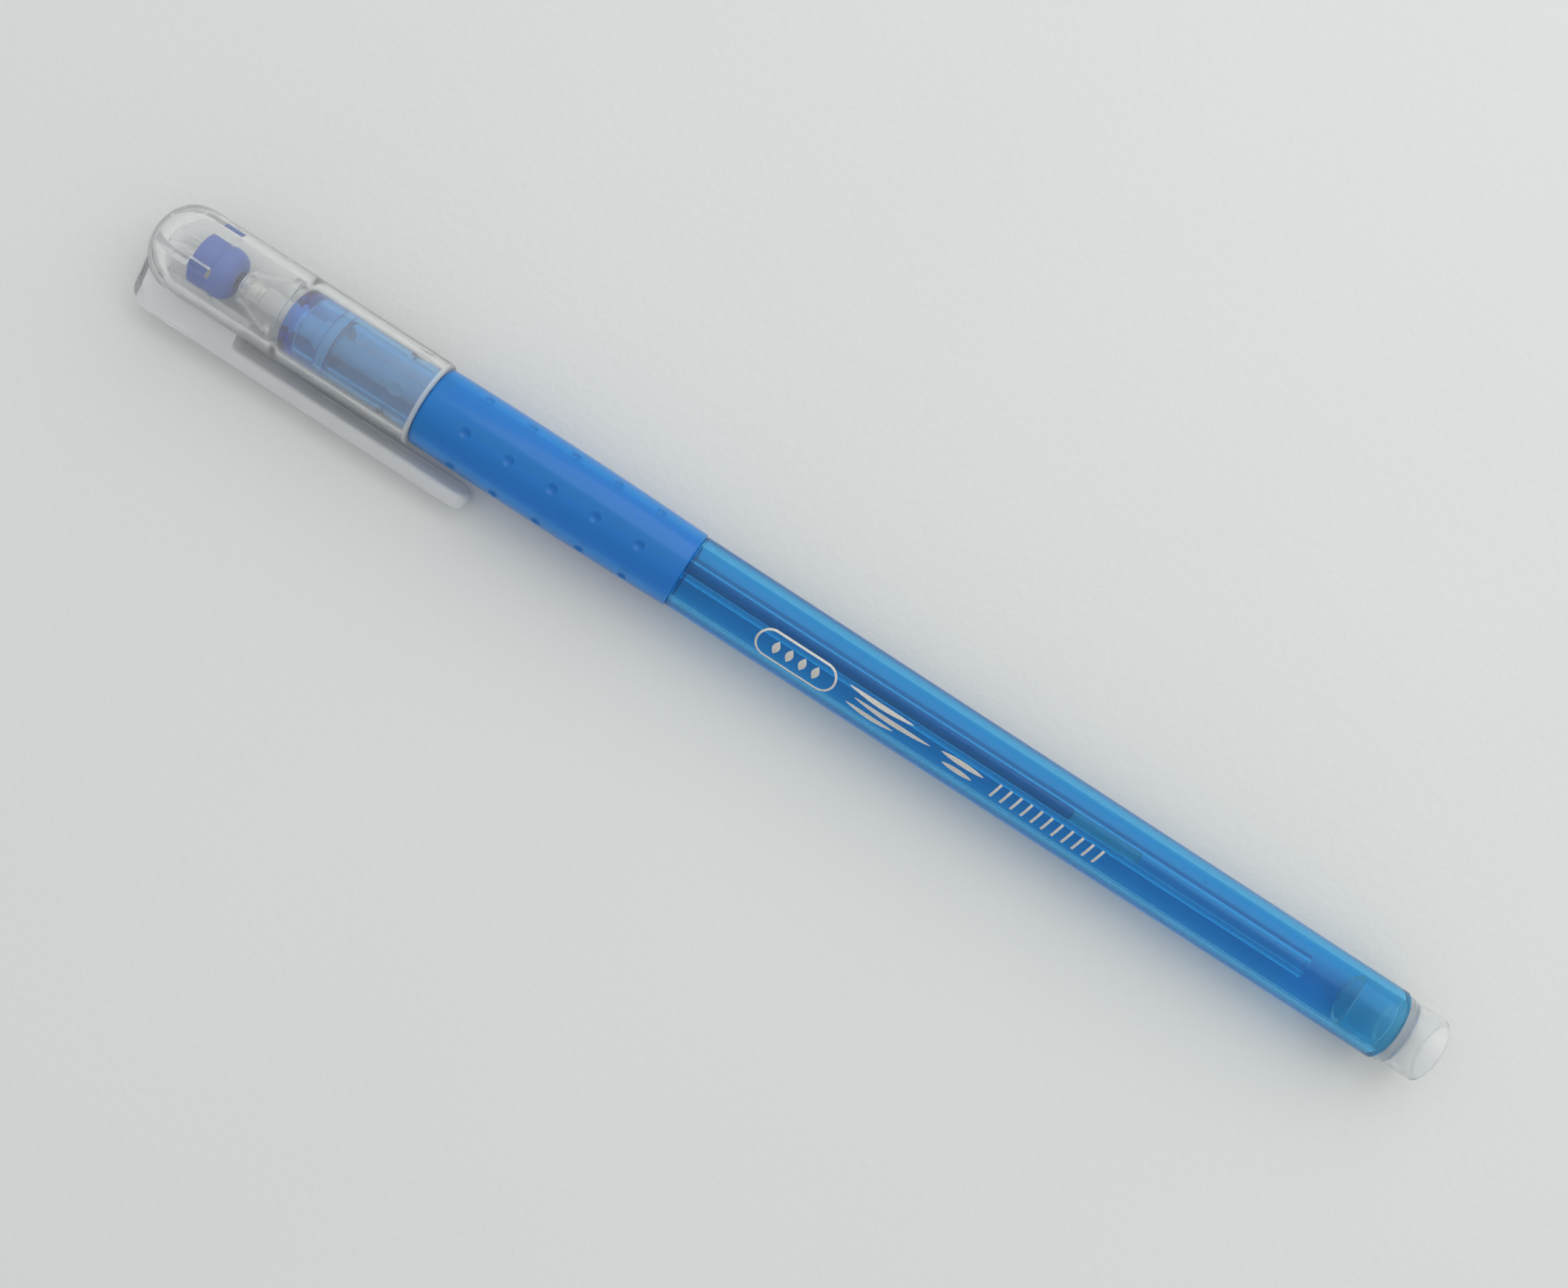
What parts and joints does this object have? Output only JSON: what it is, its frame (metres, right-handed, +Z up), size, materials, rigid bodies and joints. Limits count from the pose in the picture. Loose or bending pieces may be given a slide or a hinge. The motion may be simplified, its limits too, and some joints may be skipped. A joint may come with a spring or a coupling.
{
  "type": "gel pen",
  "caption": "Capped gel pen: clear cap with a clip, dimpled blue grip, translucent blue barrel with a refill inside, and a clear end plug.",
  "frame": {"origin": "middle of the pen's footprint, on the surface that it lies on", "axes": "+X along the pen from the cap's dome to the end plug, +Z up, -Y to the side that the clip is on"},
  "size_m": [0.149, 0.012, 0.0092],
  "materials": {
    "clear_plastic": "clear polished moulding",
    "violet_seal": "soft satin",
    "pale_blue_plastic": "clear tinted moulding",
    "satin_blue_grip": "satin, slightly see-through",
    "blue_plastic": "polished, slightly cloudy",
    "carbide": "fine ground",
    "nickel_silver": "turned",
    "milky_plastic": "milky",
    "blue_ink": "wet",
    "clear_grease": "clear gel"
  },
  "bodies": {
    "pen_body": {"barrel": "blue_plastic", "nose": "pale_blue_plastic", "grip_sleeve": "satin_blue_grip", "end_plug": "milky_plastic", "refill_tube": "milky_plastic", "tip_holder": "milky_plastic", "point_housing": "nickel_silver", "ink": "blue_ink"},
    "cap": {"cap": "clear_plastic", "seal_plug": "violet_seal", "tip_guide": "clear_plastic"},
    "clip": {"clip": "clear_plastic"},
    "ball": {"ball": "carbide"},
    "follower": {"follower": "clear_grease"}
  },
  "joints": [
    {"name": "cap_pull", "type": "slide", "parent": "pen_body", "child": "cap", "axis": [-1, 0, 0], "range_m": [0, 0.03]},
    {"name": "clip_flex", "type": "hinge", "parent": "cap", "child": "clip", "pos_m": [-0.0715, -0.00338, 0.00228], "axis": [0, 0.4384, -0.8988], "range_deg": [0, 3], "stiffness_Nm_per_rad": 1.2},
    {"name": "ball_roll", "type": "hinge", "parent": "pen_body", "child": "ball", "pos_m": [-0.0659, 0.00138, 0.0046], "axis": [0, 1, 0], "continuous": true},
    {"name": "follower_travel", "type": "slide", "parent": "pen_body", "child": "follower", "axis": [-1, 0, 0], "range_m": [0, 0.066], "deforming": ["ink"]}
  ]
}
